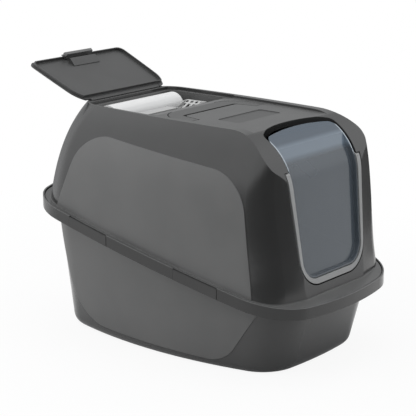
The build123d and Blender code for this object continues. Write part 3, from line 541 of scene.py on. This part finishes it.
def floor_shine(look):
    """The share of paper light that each kind of ray meets on the floor."""
    x, y, _ = look.axes(look.place())
    away = (x * x + y * y * 0.6) ** 0.5
    whiteness = away.ramp(0.5, 1.25) * (1 - NEAR_WHITENESS) + NEAR_WHITENESS
    beside_box = (x.size() - 0.16).most(y.size() - 0.26).ramp(-0.02, 0.22)
    far_in_front = (x * -0.5 + y * -0.87).ramp(0.48, 0.68)
    left_of_corner = (x * 0.79 + y * 0.61).ramp(-0.35, -0.43)
    corner = far_in_front * left_of_corner * CORNER_SHADE
    mirrored = look.node("ShaderNodeLightPath", "Is Glossy Ray")
    return (look.seen_straight() * whiteness).most(mirrored * beside_box * (1.0 - corner))


# %% Floor look
look = Look("floor")
look.surface(
    Base_Color=look.blend(look.noise(3.0), (0.56, 0.56, 0.56, 1.0), (0.6, 0.6, 0.6, 1.0)),
    Roughness=0.9,
    Specular_IOR_Level=0.1,
)
matt = Socket(look, look.shader.outputs[0])
paper = look.node("ShaderNodeEmission", 0, {"Strength": 1.0})
mixed = look.node("ShaderNodeMixShader", 0, {"Fac": floor_shine(look), 1: matt, 2: paper})
look.feed(look.tree.nodes["Material Output"].inputs["Surface"], mixed)
floor.data.materials.append(look.material)

# %% [markdown]
# ## World
#
# The camera sees a white backdrop, but polished plastic shows the room that it
# mirrors. Real soft boxes round the set would do it, at the price of noise. Here the
# background's brightness follows the direction instead: bright behind the box, dark
# low down on the photographer's side and dimmer far to the right, with one bright
# wall at the front right. These directions were tuned until the mirrored tones came
# near the photograph's from its own view. From other sides they are only plausible.

# %% Brightness of the room
ROOM_LIGHT = 1.3
ROOM_LEAST = 0.08
WALL_LIGHT = 1.15


def room_light(sky):
    """Brightness of the room by direction, as the polished plastic mirrors it."""
    x, y, z = sky.axes(sky.node("ShaderNodeTexCoord", "Generated"))
    lens_side = x * -0.5 + y * -0.87 - z.most(0.0) * 3.0
    room = lens_side.ramp(0.45, -0.5) * ROOM_LIGHT + ROOM_LEAST
    far_right = (x * 0.8 + y * 0.6).ramp(0.4, 0.9)
    low_right = (x * 0.97 + y * 0.2).ramp(0.5, 0.85) * z.ramp(0.1, -0.08)
    room = room * (1.0 - far_right * 0.62) * (1.0 - low_right * 0.8)
    right_half = (x * 0.79 + y * 0.61).ramp(-0.02, 0.02)
    front = (y * -1.0).ramp(0.22, 0.36)
    wall = right_half * front * z.ramp(0.5, 0.3) * WALL_LIGHT
    return room.most(wall)


# %% Room and backdrop
world = bpy.data.worlds.new("studio")
scene.world = world
world.use_nodes = True
sky = Graph(world.node_tree)
room = sky.node("ShaderNodeBackground", 0, {"Color": (0.98, 0.99, 1.0, 1.0), "Strength": room_light(sky)})
backdrop = sky.node("ShaderNodeBackground", 0, {"Color": (1.0, 1.0, 1.0, 1.0), "Strength": 1.0})
mixed = sky.node("ShaderNodeMixShader", 0, {"Fac": sky.seen_straight(), 1: room, 2: backdrop})
sky.feed(sky.tree.nodes["World Output"].inputs["Surface"], mixed)
print("the world has", len(sky.tree.nodes), "nodes")

# %% [markdown]
# ## Lights
#
# Two large soft boxes, one above and one at the left rear, give the soft shadow and
# the even light on the satin fields. The room already is what the plastic mirrors,
# so the lamps themselves are kept out of the camera's view and out of mirrors.

# %% Soft boxes
LAMP_SIDE = 1.6


def soft_box(name, place, target, power):
    """A square soft box at a place, pointed at a target."""
    data = bpy.data.lights.new(name, "AREA")
    data.shape = "RECTANGLE"
    data.size = LAMP_SIDE
    data.size_y = LAMP_SIDE
    data.energy = power
    lamp = bpy.data.objects.new(name, data)
    lamp.location = place
    lamp.rotation_euler = (Vector(target) - Vector(place)).to_track_quat("-Z", "Y").to_euler()
    lamp.visible_camera = False
    lamp.visible_glossy = False
    scene.collection.objects.link(lamp)
    print(name, "of", power, "W")


soft_box("top light", (0.2, 0.3, 2.3), (0, 0.05, 0.3), 12)
soft_box("side light", (-2.0, 1.5, 1.1), (0, 0.1, 0.25), 33)

# %% [markdown]
# ## Camera
#
# The photographed view is from the left of the box and in front of it, from a little
# above. The place, the direction and the lens were fitted until the outlines of the
# rim, the roof and the entrance fell where the photograph has them.

# %% Camera
CAMERA_PLACE = (-2.4513, -1.8725, 1.0216)
LOOK_ALONG = (0.7699, 0.5917, -0.2392)
LENS = 137.48
SENSOR_WIDTH = 36.0
camera_data = bpy.data.cameras.new("camera")
camera_data.lens = LENS
camera_data.sensor_width = SENSOR_WIDTH
camera = bpy.data.objects.new("camera", camera_data)
camera.location = CAMERA_PLACE
camera.rotation_euler = Vector(LOOK_ALONG).to_track_quat("-Z", "Y").to_euler()
scene.collection.objects.link(camera)
scene.camera = camera
scene.view_settings.view_transform = "Standard"
print("camera", round(Vector(CAMERA_PLACE).length, 2), "m from the origin")
